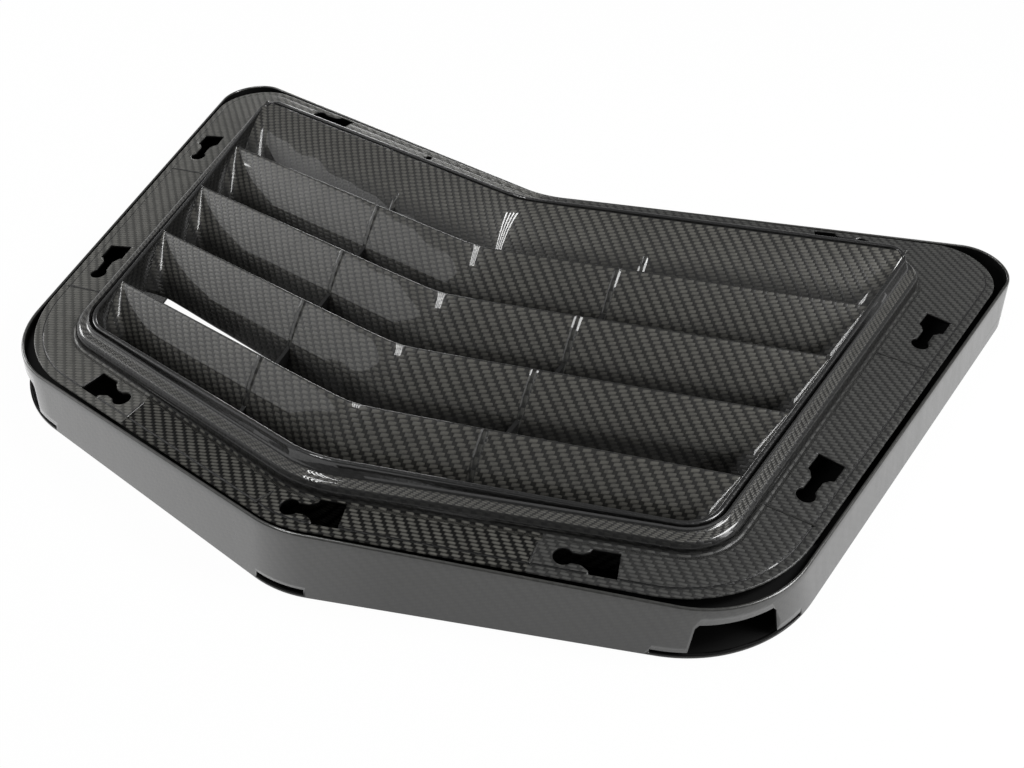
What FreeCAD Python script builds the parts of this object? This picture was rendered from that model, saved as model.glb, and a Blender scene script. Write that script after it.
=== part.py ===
import FreeCAD, Part
import math
import os
from FreeCAD import Placement, Rotation, Vector

# Hood vent: a louvred panel with a keyholed flange, seated in a skirted drain tray.
# +X is the car's right, +Y the rear, +Z up, and the point of the chevron looks to the front.
# The origin is on the floor plane, below the middle of the part.

doc = FreeCAD.newDocument("hood_vent")
sheet = doc.addObject("Spreadsheet::Sheet", "sizes")

# Driving dimensions: lengths in millimetres, angles in degrees.
# A sweep or taper is millimetres of run per millimetre, a fall is millimetres of drop per millimetre.
SIZES = {
    "flange_height": 45.2,
    "flange_fall": 0.0442,
    "flange_wall": 2.0,
    "flange_front_depth": 37.7,
    "flange_front_sweep": 0.24,
    "flange_side_width": 51.9,
    "flange_taper": 0.232,
    "flange_back_depth": 37.8,
    "flange_back_sweep": 0.275,
    "flange_front_radius": 79.0,
    "flange_rear_radius": 35.0,
    "centre_bend_radius": 60.0,
    "opening_front_sweep": 0.268,
    "opening_half_width": 225.6,
    "opening_taper": 0.196,
    "opening_back": 95.0,
    "opening_back_sweep": 0.2525,
    "opening_front_radius": 25.0,
    "opening_rear_radius": 8.0,
    "lip_height": 67.2,
    "lip_rise": 0.03,
    "lip_fall": 0.09,
    "lip_width": 3.0,
    "lip_radius": 1.5,
    "back_lip_height": 64.3,
    "back_lip_fall": 0.037,
    "shoulder_height": 56.3,
    "shoulder_rise": 0.015,
    "shoulder_fall": 0.057,
    "shoulder_width": 11.5,
    "shoulder_radius": 3.5,
    "rim_wall": 2.0,
    "blade_wall": 2.0,
    "blade_pitch": 53.1,
    "blade_run": 27.0,
    "blade_top_slope": 33.0,
    "blade_foot_slope": 60.0,
    "blade_set_down": 0.8,
    "first_blade_run": 45.0,
    "first_blade_top_slope": 15.0,
    "first_blade_foot_slope": 45.0,
    "second_blade_back": 26.7,
    "second_blade_sweep": 0.289,
    "front_blade_sweep": 0.257,
    "front_blade_room": 42.4,
    "rib_wall": 2.5,
    "rib_offset": 87.0,
    "rib_taper": 0.098,
    "rib_foot": 15.0,
    "rib_set_down": 20.0,
    "tray_gap": 1.5,
    "tray_wall": 2.0,
    "tray_floor": 2.0,
    "tray_rim_drop": 1.5,
    "tray_draft": 9.0,
    "tray_rim_front_radius": 43.0,
    "tray_rim_rear_radius": 22.0,
    "tray_foot_front_radius": 89.0,
    "tray_foot_rear_radius": 40.9,
    "drain_width": 50.0,
    "drain_top_width": 42.0,
    "drain_height": 22.0,
    "drain_slot_width": 84.0,
    "drain_slot_height": 2.5,
    "drain_inset": 42.0,
    "drain_shift": 7.0,
    "notch_width": 30.0,
    "notch_height": 4.0,
    "keyhole_radius": 5.5,
    "keyhole_neck": 7.0,
    "keyhole_slot": 15.5,
    "keyhole_slot_width": 16.0,
    "keyhole_reach": 25.5,
    "front_keyhole_reach": 21.0,
    "clip_hole_radius": 3.0,
    "side_keyhole_edge": 17.5,
    "front_keyhole_edge": 13.0,
    "back_keyhole_edge": 9.5,
    "rear_side_keyhole": 90.3,
    "front_side_keyhole": -68.7,
    "outer_front_keyhole": 141.0,
    "back_keyhole": 226.0,
    "back_clip_hole": 105.0,
}
BLADES = 5

for row, (alias, value) in enumerate(SIZES.items(), start=1):
    sheet.set(f"A{row}", alias)
    sheet.set(f"B{row}", str(value))
    sheet.setAlias(f"B{row}", alias)
doc.recompute()


def size(alias):
    return float(sheet.get(alias))


# Working lengths that only have to pass the part: above it, below it and beyond its sides.
ABOVE = 2 * size("lip_height")
BEYOND = 2 * (size("opening_half_width") + size("flange_side_width"))
SHEET_LINK = "sizes."
TOUCHING = 0.01


def rounded_wire(corners, radii, level):
    """A closed wire at one height with an arc of the given radius at each corner."""
    edges = []
    ends = []
    for index, corner in enumerate(corners):
        back = (corners[index - 1] - corner).normalize()
        ahead = (corners[(index + 1) % len(corners)] - corner).normalize()
        turn = math.pi - back.getAngle(ahead)
        reach = radii[index] * math.tan(turn / 2)
        middle = (back + ahead).normalize() * (radii[index] / math.cos(turn / 2) - radii[index])
        ends.append((corner + back * reach, corner + middle, corner + ahead * reach))
    lift = Vector(0, 0, level)
    for index, (start, middle, stop) in enumerate(ends):
        edges.append(Part.Arc(start + lift, middle + lift, stop + lift).toShape())
        edges.append(Part.LineSegment(stop + lift, ends[(index + 1) % len(ends)][0] + lift).toShape())
    return Part.Wire(edges)


# Where the edges of the opening and the flange cross the centre plane or the side axis
# The front edge of the opening keeps its room in front of the front blade's top edge.
front_blade_back = size("second_blade_back") - size("blade_pitch") * (BLADES - 2)
opening_front = size("front_blade_room") - front_blade_back
EDGES = {
    "opening": (opening_front, size("opening_half_width"), size("opening_back")),
    "flange": (
        opening_front + size("flange_front_depth"),
        size("opening_half_width") + size("flange_side_width"),
        size("opening_back") + size("flange_back_depth"),
    ),
}


def chevron(family, offset, level, front_radius, rear_radius):
    """The chevron outline of the flange or the opening, moved outward by offset."""
    front_sweep = size(family + "_front_sweep")
    taper = size(family + "_taper")
    back_sweep = size(family + "_back_sweep")
    front_edge, side_edge, back_edge = EDGES[family]
    front = -front_edge - offset * math.hypot(1, front_sweep)
    side = side_edge + offset * math.hypot(1, taper)
    back = back_edge + offset * math.hypot(1, back_sweep)
    front_corner_y = (front + front_sweep * side) / (1 - front_sweep * taper)
    rear_corner_y = (back + back_sweep * side) / (1 - back_sweep * taper)
    right = [Vector(side + taper * y, y, 0) for y in (front_corner_y, rear_corner_y)]
    left = [Vector(-corner.x, corner.y, 0) for corner in reversed(right)]
    corners = [Vector(0, front, 0), *right, Vector(0, back, 0), *left]
    bend = size("centre_bend_radius")
    radii = [bend + offset, front_radius, rear_radius, bend - offset, rear_radius, front_radius]
    return rounded_wire(corners, radii, level)


def flange_outline(offset, level):
    front_radius, rear_radius = size("flange_front_radius"), size("flange_rear_radius")
    return chevron("flange", offset, level, front_radius + offset, rear_radius + offset)


def opening_outline(offset, level):
    front_radius, rear_radius = size("opening_front_radius"), size("opening_rear_radius")
    return chevron("opening", offset, level, front_radius + offset, rear_radius + offset)


def profile(name, wire):
    feature = doc.addObject("Part::Feature", name)
    feature.Shape = wire
    return feature


def extrusion(name, wire, direction, length):
    feature = doc.addObject("Part::Extrusion", name)
    feature.Base = profile(name + "_outline", wire)
    feature.DirMode = "Custom"
    feature.Dir = direction
    feature.Solid = True
    feature.LengthFwd = length
    return feature


def prism(name, wire):
    return extrusion(name, wire, Vector(0, 0, 1), ABOVE)


def loft(name, sections):
    feature = doc.addObject("Part::Loft", name)
    feature.Sections = [profile(f"{name}_section_{n}", wire) for n, wire in enumerate(sections, start=1)]
    feature.Solid = True
    feature.Ruled = True
    return feature


def boolean(kind, name, base, tool):
    feature = doc.addObject("Part::" + kind, name)
    feature.Base = base
    feature.Tool = tool
    return feature


def joined(name, shapes):
    feature = doc.addObject("Part::MultiFuse", name)
    feature.Shapes = shapes
    feature.Refine = True
    return feature


def mirrored(name, source):
    feature = doc.addObject("Part::Mirroring", name)
    feature.Source = source
    feature.Base = Vector(0, 0, 0)
    feature.Normal = Vector(1, 0, 0)
    return feature


def under_roof(name, height, rise, fall):
    """The space below a ridged roof whose ridge climbs towards the rear."""
    start = -BEYOND
    ridge = height + rise * start
    eaves = ridge - fall * BEYOND
    section = [
        Vector(-BEYOND, start, -ABOVE),
        Vector(BEYOND, start, -ABOVE),
        Vector(BEYOND, start, eaves),
        Vector(0, start, ridge),
        Vector(-BEYOND, start, eaves),
    ]
    wire = Part.makePolygon(section + section[:1])
    return extrusion(name, wire, Vector(0, 1, rise), 2 * BEYOND * math.hypot(1, rise))


# Spaces below the main surfaces
floor_top = size("tray_floor")
flange_fall = size("flange_fall")
below_flange = under_roof("below_flange", size("flange_height"), 0, flange_fall)
below_flange_wall = under_roof(
    "below_flange_wall", size("flange_height") - size("flange_wall"), 0, flange_fall
)
below_shoulder = under_roof(
    "below_shoulder", size("shoulder_height"), size("shoulder_rise"), size("shoulder_fall")
)
below_shoulder_wall = under_roof(
    "below_shoulder_wall",
    size("shoulder_height") - size("rim_wall"),
    size("shoulder_rise"),
    size("shoulder_fall"),
)
below_lip = under_roof("below_lip", size("lip_height"), size("lip_rise"), size("lip_fall"))
below_back_lip = under_roof("below_back_lip", size("back_lip_height"), 0, size("back_lip_fall"))
below_tray_rim = under_roof(
    "below_tray_rim", size("flange_height") - size("tray_rim_drop"), 0, flange_fall
)


def edges_along(shape, wire, surface):
    """Numbers of the edges that lie over a wire at the level of a ridged surface."""
    numbers = []
    for number, edge in enumerate(shape.Edges, start=1):
        middle = edge.valueAt((edge.FirstParameter + edge.LastParameter) / 2)
        level = size(surface + "_height") + size(surface + "_rise") * middle.y
        level -= size(surface + "_fall") * abs(middle.x)
        aside = Part.Vertex(middle.x, middle.y, 0).distToShape(wire)[0]
        if abs(middle.z - level) < TOUCHING and aside < TOUCHING:
            numbers.append(number)
    return numbers


right_side = doc.addObject("Part::Box", "right_side")
right_side.Length = BEYOND
right_side.Width = 2 * BEYOND
right_side.Height = 2 * ABOVE
right_side.Placement = Placement(Vector(0, -BEYOND, -ABOVE), Rotation())


def rounded_step(surface, edge_offset, below):
    """A solid up to a ridged surface, rounded along its top edge on one side and mirrored."""
    block = prism(surface + "_block", opening_outline(edge_offset, floor_top))
    square = boolean("Common", surface + "_square", block, below)
    half = boolean("Common", surface + "_half", square, right_side)
    doc.recompute()
    radius = size(surface + "_radius")
    right = doc.addObject("Part::Fillet", surface + "_right")
    right.Base = half
    numbers = edges_along(half.Shape, opening_outline(edge_offset, 0), surface)
    right.Edges = [(number, radius, radius) for number in numbers]
    return joined(surface + "_ring", [right, mirrored(surface + "_left", right)])


# Louvre frame: flange, stepped rim and the box wall that stands on the tray's floor
lip_edge = size("lip_width")
shoulder_edge = lip_edge + size("shoulder_width")
opening = prism("opening", opening_outline(0, -floor_top))
flange_block = prism("flange_block", flange_outline(0, floor_top))
flange_body = boolean("Common", "flange_body", flange_block, below_flange)
shoulder_ring = rounded_step("shoulder", shoulder_edge, below_shoulder)
lip_ring = rounded_step("lip", lip_edge, below_lip)

# Along the back there is no shoulder, and the lip keeps a steady height above the flange
def behind_line(name, ahead):
    """The space behind a line that runs a set distance ahead of the opening's back edge."""
    start = size("opening_back") - ahead
    far = start + size("opening_back_sweep") * BEYOND
    corners = [
        Vector(-BEYOND, far, floor_top),
        Vector(0, start, floor_top),
        Vector(BEYOND, far, floor_top),
        Vector(BEYOND, 2 * BEYOND, floor_top),
        Vector(-BEYOND, 2 * BEYOND, floor_top),
    ]
    return prism(name, Part.makePolygon(corners + corners[:1]))


behind = behind_line("behind", 0)
behind_wall = behind_line("behind_wall", size("rim_wall"))
shoulder_body = boolean("Cut", "shoulder_body", shoulder_ring, behind)
lip_body = boolean("Cut", "lip_body", lip_ring, behind)
lip_prism = prism("lip_prism", opening_outline(lip_edge, floor_top))
back_block = boolean("Common", "back_block", lip_prism, behind)
back_lip = boolean("Common", "back_lip", back_block, below_back_lip)
rim_hollow_block = prism("rim_hollow_block", opening_outline(shoulder_edge - size("rim_wall"), 0))
rim_hollow_ring = boolean("Common", "rim_hollow_ring", rim_hollow_block, below_shoulder_wall)
rim_hollow = boolean("Cut", "rim_hollow", rim_hollow_ring, behind_wall)
hollow = boolean(
    "Cut",
    "hollow",
    joined("hollow_spaces", [below_flange_wall, rim_hollow]),
    prism("box_wall_block", opening_outline(lip_edge, -ABOVE / 2)),
)
frame_outside = joined("frame_outside", [flange_body, shoulder_body, lip_body, back_lip])
frame_shell = boolean("Cut", "frame_shell", frame_outside, hollow)


def bound_box(name, length, width, place):
    """A tall box along local +X, centred on local Y, that takes its sizes from the sheet."""
    box = doc.addObject("Part::Box", name)
    box.setExpression("Length", SHEET_LINK + length)
    box.setExpression("Width", SHEET_LINK + width)
    box.Height = ABOVE
    box.Placement = place
    return box


def tall_cylinder(name, radius, place):
    cylinder = doc.addObject("Part::Cylinder", name)
    cylinder.setExpression("Radius", SHEET_LINK + radius)
    cylinder.Height = ABOVE
    cylinder.Placement = place
    return cylinder


def keyhole(name, x, y, heading, reach="keyhole_reach"):
    """A round stud seat at x, y, with a neck and a wide slot along the heading."""
    base = Placement(Vector(x, y, floor_top), Rotation(Vector(0, 0, 1), heading))
    neck_place = base * Placement(Vector(0, -size("keyhole_neck") / 2, 0), Rotation())
    slot_start = size(reach) - size("keyhole_slot") / 2
    slot_place = base * Placement(Vector(slot_start, -size("keyhole_slot_width") / 2, 0), Rotation())
    return [
        tall_cylinder(name + "_seat", "keyhole_radius", base),
        bound_box(name + "_neck", reach, "keyhole_neck", neck_place),
        bound_box(name + "_slot", "keyhole_slot", "keyhole_slot_width", slot_place),
    ]


# Keyholes along the flange, each at a set distance from its edge
front_heading = math.degrees(math.atan(size("flange_front_sweep")))
side_heading = 90 - math.degrees(math.atan(size("flange_taper")))
back_heading = 180 + math.degrees(math.atan(size("flange_back_sweep")))


def side_x(y):
    edge = size("side_keyhole_edge") * math.hypot(1, size("flange_taper"))
    return EDGES["flange"][1] + size("flange_taper") * y - edge


def front_y(x):
    edge = size("front_keyhole_edge") * math.hypot(1, size("flange_front_sweep"))
    return -EDGES["flange"][0] + size("flange_front_sweep") * x + edge


def back_y(x):
    edge = size("back_keyhole_edge") * math.hypot(1, size("flange_back_sweep"))
    return EDGES["flange"][2] + size("flange_back_sweep") * x - edge


right_cutters = []
for name, y in (("rear_side", size("rear_side_keyhole")), ("front_side", size("front_side_keyhole"))):
    right_cutters += keyhole(name, side_x(y), y, side_heading)
outer_x = size("outer_front_keyhole")
right_cutters += keyhole("outer_front", outer_x, front_y(outer_x), front_heading, "front_keyhole_reach")
back_x = size("back_keyhole")
right_cutters += keyhole("back", back_x, back_y(back_x), back_heading)
clip_x = size("back_clip_hole")
clip_place = Placement(Vector(clip_x, back_y(clip_x), floor_top), Rotation())
right_cutters.append(tall_cylinder("back_clip", "clip_hole_radius", clip_place))
right_holes = joined("right_holes", right_cutters)
left_holes = mirrored("left_holes", right_holes)
centre_cutters = keyhole("centre_front", 0, front_y(0), front_heading, "front_keyhole_reach")
centre_hole = joined("centre_hole", centre_cutters)
holes = joined("holes", [right_holes, left_holes, centre_hole, opening])
louver_frame = boolean("Cut", "louver_frame", frame_shell, holes)


# Louvre blades: a curved section at the centre plane, run out along the sweep on each side
def blade_section(top, run, top_slope, foot_slope):
    """A blade's curved section in the centre plane, steeper towards its foot."""
    top_angle = math.radians(top_slope)
    foot_angle = math.radians(foot_slope)
    bend = run / (math.sin(foot_angle) - math.sin(top_angle))
    centre = top + Vector(0, math.sin(top_angle), -math.cos(top_angle)) * bend

    def face(angle, radius):
        return centre + Vector(0, -math.sin(angle), math.cos(angle)) * radius

    angles = (top_angle, (top_angle + foot_angle) / 2, foot_angle)
    outer = [face(angle, bend) for angle in angles]
    inner = [face(angle, bend - size("blade_wall")) for angle in reversed(angles)]
    edges = [
        Part.Arc(*outer).toShape(),
        Part.LineSegment(outer[2], inner[0]).toShape(),
        Part.Arc(*inner).toShape(),
        Part.LineSegment(inner[2], outer[0]).toShape(),
    ]
    return Part.Wire(edges)


def blade(number, section, run):
    half = extrusion(f"blade_run_{number}", section, run, BEYOND)
    right = boolean("Common", f"blade_right_{number}", half, opening)
    return joined(f"louver_blade_{number}", [right, mirrored(f"blade_left_{number}", right)])


first_top = Vector(0, size("opening_back"), size("back_lip_height") - size("blade_set_down"))
first_section = blade_section(
    first_top, size("first_blade_run"), size("first_blade_top_slope"), size("first_blade_foot_slope")
)
blades = [blade(1, first_section, Vector(1, size("opening_back_sweep"), -size("back_lip_fall")))]
sweep_step = (size("second_blade_sweep") - size("front_blade_sweep")) / (BLADES - 2)
for step in range(BLADES - 1):
    sweep = size("second_blade_sweep") - sweep_step * step
    top_y = size("second_blade_back") - size("blade_pitch") * step
    top_z = size("lip_height") + size("lip_rise") * top_y - size("blade_set_down")
    section = blade_section(
        Vector(0, top_y, top_z), size("blade_run"), size("blade_top_slope"), size("blade_foot_slope")
    )
    run = Vector(1, sweep, size("lip_rise") * sweep - size("lip_fall"))
    blades.append(blade(step + 2, section, run))

# Support ribs: plates that stand under the blades, combed to fit them
all_blades = doc.addObject("Part::Compound", "all_blades")
all_blades.Links = blades
rib_heading = -math.degrees(math.atan(size("rib_taper")))
rib_plate = doc.addObject("Part::Box", "rib_plate")
rib_plate.setExpression("Length", SHEET_LINK + "rib_wall")
rib_plate.Width = 2 * BEYOND
rib_plate.Height = ABOVE
rib_rotation = Rotation(Vector(0, 0, 1), rib_heading)
rib_origin = Vector(size("rib_offset"), 0, size("rib_foot"))
rib_start = rib_rotation.multVec(Vector(-size("rib_wall") / 2, -BEYOND, 0))
rib_plate.Placement = Placement(rib_origin + rib_start, rib_rotation)
below_rib_top = under_roof(
    "below_rib_top", size("lip_height") - size("rib_set_down"), size("lip_rise"), size("lip_fall")
)
rib_blank = boolean("Common", "rib_blank", boolean("Common", "rib_under", rib_plate, below_rib_top), opening)
rib_right = boolean("Cut", "support_rib_right", rib_blank, all_blades)
rib_left = mirrored("support_rib_left", rib_right)

# Drain tray: a flared skirt and a gutter floor that carries the frame's box wall
draft = math.tan(math.radians(size("tray_draft")))
foot_offset = size("tray_gap") + size("tray_wall") + draft * size("flange_height")


def tray_outline(inset, level):
    """The skirt's outline at one level, with corners that tighten from foot to rim."""
    share = level / size("flange_height")
    radii = []
    for end in ("front", "rear"):
        foot_radius, rim_radius = size(f"tray_foot_{end}_radius"), size(f"tray_rim_{end}_radius")
        radii.append(foot_radius + (rim_radius - foot_radius) * share - inset)
    return chevron("flange", foot_offset - inset - draft * level, level, *radii)


def skirt(name, inset, bottom):
    return loft(name, [tray_outline(inset, bottom), tray_outline(inset, size("lip_height"))])


tray_outside = boolean("Common", "tray_outside", skirt("skirt_outside", 0, 0), below_tray_rim)
skirt_inside = skirt("skirt_inside", size("tray_wall"), floor_top)

# Drain windows at the front corners and a notch under the point of the chevron
front_sweep, taper = size("flange_front_sweep"), size("flange_taper")
front_edge, side_edge, back_edge = EDGES["flange"]
corner_y = (-front_edge + front_sweep * side_edge) / (1 - front_sweep * taper)
corner = Vector(side_edge + taper * corner_y, corner_y, floor_top)
corner_rotation = Rotation(Vector(0, 0, 1), (front_heading + side_heading) / 2)
window_half = [
    Vector(size("drain_slot_width") / 2, 0, 0),
    Vector(size("drain_slot_width") / 2, 0, size("drain_slot_height")),
    Vector(size("drain_width") / 2, 0, size("drain_slot_height")),
    Vector(size("drain_top_width") / 2, 0, size("drain_height")),
]
window_corners = window_half + [Vector(-point.x, point.y, point.z) for point in reversed(window_half)]
window_place = Placement(corner, corner_rotation) * Placement(Vector(-size("drain_shift"), 0, 0), Rotation())
window_corners = [window_place.multVec(point) for point in window_corners]
window_inward = corner_rotation.multVec(Vector(0, 1, 0))
window_wire = Part.makePolygon(window_corners + window_corners[:1])
window = extrusion("drain_window", window_wire, window_inward, size("drain_inset"))
window.setExpression("LengthFwd", SHEET_LINK + "drain_inset")
notch = doc.addObject("Part::Box", "front_notch")
notch.setExpression("Length", SHEET_LINK + "notch_width")
notch.Width = 2 * foot_offset
notch.setExpression("Height", SHEET_LINK + "notch_height")
notch_front = -front_edge - 2 * foot_offset
notch.Placement = Placement(Vector(-size("notch_width") / 2, notch_front, floor_top), Rotation())
tray_spaces = joined(
    "tray_spaces", [skirt_inside, opening, window, mirrored("drain_window_left", window), notch]
)
drain_tray = boolean("Cut", "drain_tray", tray_outside, tray_spaces)

doc.recompute()

# Every object has to be sound before anything is written
subparts = [louver_frame, *blades, rib_left, rib_right, drain_tray]
for item in doc.Objects:
    if {"Invalid", "Error"} & set(item.State):
        raise RuntimeError(f"{item.Name} did not build: {item.State}")
for item in subparts:
    if item.Shape.isNull() or not item.Shape.isValid() or not item.Shape.Solids:
        raise RuntimeError(f"{item.Name} has no sound shape")

os.makedirs("parts", exist_ok=True)
for item in subparts:
    item.Label = item.Name
    item.Shape.exportStep(f"parts/{item.Label}.step")
    box = item.Shape.BoundBox
    spans = f"X {box.XMin:.1f} to {box.XMax:.1f}, Y {box.YMin:.1f} to {box.YMax:.1f}"
    print(item.Label, len(item.Shape.Solids), "solid,", round(item.Shape.Volume / 1000, 2), "cm3,", spans)
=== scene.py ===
# %% [markdown]
# # A carbon-fibre hood vent
# The real object is a moulded panel of twill cloth under clear coat. Five chevron blades sit in a stepped rim,
# a flange with keyholes runs round it, and a smooth tray with a flared skirt lies below. The solids could be
# dressed as they are, but the cloth has to follow every bend. So each piece is a smooth surface laid over its
# solid.

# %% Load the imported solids
import math

import bpy
import numpy as np
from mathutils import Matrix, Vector


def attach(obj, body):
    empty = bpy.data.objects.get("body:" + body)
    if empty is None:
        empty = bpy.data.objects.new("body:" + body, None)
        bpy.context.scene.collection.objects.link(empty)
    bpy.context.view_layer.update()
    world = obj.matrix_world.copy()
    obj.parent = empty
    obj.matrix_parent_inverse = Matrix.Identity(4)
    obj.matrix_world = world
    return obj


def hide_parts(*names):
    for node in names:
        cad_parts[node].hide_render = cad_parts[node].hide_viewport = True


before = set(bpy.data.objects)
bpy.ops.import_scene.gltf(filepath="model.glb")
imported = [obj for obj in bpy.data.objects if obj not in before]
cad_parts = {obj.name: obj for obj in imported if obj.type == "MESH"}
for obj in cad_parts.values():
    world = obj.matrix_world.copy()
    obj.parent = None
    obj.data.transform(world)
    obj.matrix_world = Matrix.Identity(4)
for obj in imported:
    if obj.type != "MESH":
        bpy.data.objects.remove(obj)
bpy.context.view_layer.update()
MM = 0.001
print("nodes:", sorted(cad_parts))

# %% [markdown]
# ## The roofs
# Flange, shoulder and lip each lie on a shallow ridged roof: level or rising to the rear, and falling away to
# both sides. Two flat planes would meet in a hard crease. A rounded absolute value gives the ridge the soft
# bend that the moulded cloth has.

# %% Roof surfaces
RIDGE_BEND = 9 * MM
FLANGE_HEIGHT, TALL = 45.2, 67.2


def off_centre(x):
    """Distance from the centre plane with a rounded ridge: sqrt(x^2 + r^2) - r."""
    return np.sqrt(x * x + RIDGE_BEND**2) - RIDGE_BEND


def roof(height, rise, fall):
    """A function of x and y that gives height + rise * y - fall * |x|."""
    return lambda x, y: height + rise * y - fall * off_centre(x)


ROOFS = {
    "floor": roof(0.0, 0.0, 0.0),
    "flange": roof(FLANGE_HEIGHT * MM, 0.0, 0.0442),
    "shoulder": roof(56.3 * MM, 0.015, 0.057),
    "lip": roof(TALL * MM, 0.03, 0.09),
    "back lip": roof(64.3 * MM, 0.0, 0.037),
}
middle_heights = {name: round(float(height(0.0, 0.0)) / MM, 1) for name, height in ROOFS.items()}
print("roof heights at the middle in mm:", middle_heights)

# %% [markdown]
# ## Chevron outlines
# Flange, opening and tray share one plan: a front edge swept back from the point, tapered sides and a notched
# rear edge. A curve object could be offset for each of them, but its points would move along the edge. One
# function gives the outline at any offset, as straight runs and arcs with the same count of points in each,
# so that two outlines can be joined point to point.

# %% Outline function
OPENING = {"front": (-175.0, 0.268), "side": (225.6, 0.196), "back": (95.0, 0.2525), "radii": (25.0, 8.0)}
FLANGE = {"front": (-212.7, 0.24), "side": (277.5, 0.232), "back": (132.8, 0.275), "radii": (90.0, 35.0)}
POINT_BEND = 60.0
ARC_POINTS = (13, 29, 25, 13, 25, 29)
RUN_POINTS = (60, 90, 90, 90, 90, 60)


def chevron(plan, offset, radii=None):
    """Points in metres and outward normals of a closed outline, anticlockwise from the chevron's point."""
    (front, front_sweep), (side, taper), (back, back_sweep) = plan["front"], plan["side"], plan["back"]
    front -= offset * math.hypot(1, front_sweep)
    side += offset * math.hypot(1, taper)
    back += offset * math.hypot(1, back_sweep)
    low = (front + front_sweep * side) / (1 - front_sweep * taper)
    high = (back + back_sweep * side) / (1 - back_sweep * taper)
    right = [(side + taper * low, low), (side + taper * high, high)]
    left = [(-x, y) for x, y in reversed(right)]
    corners = np.array([(0, front), *right, (0, back), *left])
    front_radius, rear_radius = radii or (r + offset for r in plan["radii"])
    radii = (POINT_BEND + offset, front_radius, rear_radius, POINT_BEND - offset, rear_radius, front_radius)
    arcs = []
    for index, radius in enumerate(radii):
        corner = corners[index]
        before = corner - corners[index - 1]
        after = corners[(index + 1) % len(corners)] - corner
        start, stop = (math.atan2(d[1], d[0]) for d in (before, after))
        swing = (stop - start + math.pi) % (2 * math.pi) - math.pi
        sign = math.copysign(1, swing)
        reach = radius * math.tan(abs(swing) / 2)
        entry = corner - before / np.hypot(*before) * reach
        centre = entry + sign * radius * np.array([-math.sin(start), math.cos(start)])
        heading = np.linspace(start, start + swing, ARC_POINTS[index])
        normal = np.stack([np.sin(heading), -np.cos(heading)], axis=1)
        arcs.append((centre + sign * radius * normal, normal))
    points, normals = [], []
    for index, (arc, normal) in enumerate(arcs):
        ahead = arcs[(index + 1) % len(arcs)][0][0]
        share = np.linspace(0, 1, RUN_POINTS[index] + 2)[1:-1, None]
        points += [arc, arc[-1] + share * (ahead - arc[-1])]
        normals += [normal, np.repeat(normal[-1:], len(share), axis=0)]
    return np.concatenate(points) * MM, np.concatenate(normals)


opening_path, opening_normal = chevron(OPENING, 0)
print("points round an outline:", len(opening_path))

# %% [markdown]
# ## From grids to meshes
# Every shell is a grid of points with a matching grid of cloth coordinates in metres. Blender could unwrap the
# meshes, but then the weave would run where the unwrap sends it. One function turns a grid into a mesh, closes
# it round either way, turns its faces outward and lays the cloth coordinates on it.

# %% Grid to mesh
CREASE = math.radians(35.0)


def lengths(points, axis, closed):
    """Running length along one axis of a grid, with the closing step where the grid is closed."""
    if closed:
        points = np.concatenate([points, np.take(points, [0], axis=axis)], axis=axis)
    steps = np.linalg.norm(np.diff(points, axis=axis), axis=-1)
    start = np.zeros_like(np.take(steps, [0], axis=axis))
    return np.concatenate([start, np.cumsum(steps, axis=axis)], axis=axis)


def ring_cloth(grid):
    """Cloth coordinates of a closed ring: length round its first column and length round each section."""
    along = lengths(grid[:, :1], 0, True)
    across = lengths(grid, 1, True)
    across = np.concatenate([across, across[:1]])
    return np.stack([np.repeat(along, across.shape[1], axis=1), across], axis=-1)


def shell(name, points, cloth, closed=(True, True), caps=False):
    """A mesh object from a grid: quads between neighbours, wrapped round where the grid is closed."""
    rows, columns = points.shape[:2]
    number = np.arange(rows * columns).reshape(rows, columns)
    row = np.arange(rows if closed[0] else rows - 1)[:, None]
    column = np.arange(columns if closed[1] else columns - 1)[None, :]
    steps = ((0, 0), (1, 0), (1, 1), (0, 1))
    quads = np.stack([number[(row + a) % rows, (column + b) % columns] for a, b in steps], axis=-1)
    laid = np.stack([cloth[row + a, column + b] for a, b in steps], axis=-2)
    quads, laid = quads.reshape(-1, 4), laid.reshape(-1, 4, 2)
    flat = points.reshape(-1, 3)
    a, b, c, d = (flat[quads[:, n]] for n in range(4))
    volume = np.einsum("ij,ij->i", a, np.cross(b, c) + np.cross(c, d)).sum()
    faces = quads.tolist()
    if caps:
        faces += [number[0].tolist(), number[-1][::-1].tolist()]
    mesh = bpy.data.meshes.new(name)
    mesh.from_pydata(flat.tolist(), [], faces)
    uv = mesh.uv_layers.new(name="Cloth").data
    corner_uv = np.zeros((len(uv), 2))
    corner_uv[: laid.shape[0] * 4] = laid.reshape(-1, 2)
    uv.foreach_set("uv", corner_uv.ravel())
    if volume < 0:
        mesh.flip_normals()
    mesh.polygons.foreach_set("use_smooth", np.ones(len(mesh.polygons), dtype=bool))
    mesh.set_sharp_from_angle(angle=CREASE)
    mesh.validate()
    made = bpy.data.objects.new(name, mesh)
    bpy.context.scene.collection.objects.link(made)
    return made


def prism(name, rings):
    """A closed mesh between two outlines in metres, with no cloth laid on it."""
    return shell(name, rings, np.zeros((2, rings.shape[1] + 1, 2)), closed=(False, True), caps=True)


# %% [markdown]
# ## The frame's section
# Going outward from the opening, the section climbs the box wall, turns over the thin lip, drops down the band,
# runs along the rounded shoulder and falls to the flange. A profile swept along the opening would keep one
# shape, and here the steps fade towards the sides as the roofs draw together. So each station names its offset,
# its roof and its height above that roof, in millimetres.

# %% Rim stations
def turn(offset, lift, radius, first, last, count, base):
    """Stations on an arc about (offset, lift), from the first to the last angle in degrees."""
    angles = np.radians(np.linspace(first, last, count))
    return [(offset + radius * math.cos(a), base, lift + radius * math.sin(a)) for a in angles]


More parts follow.
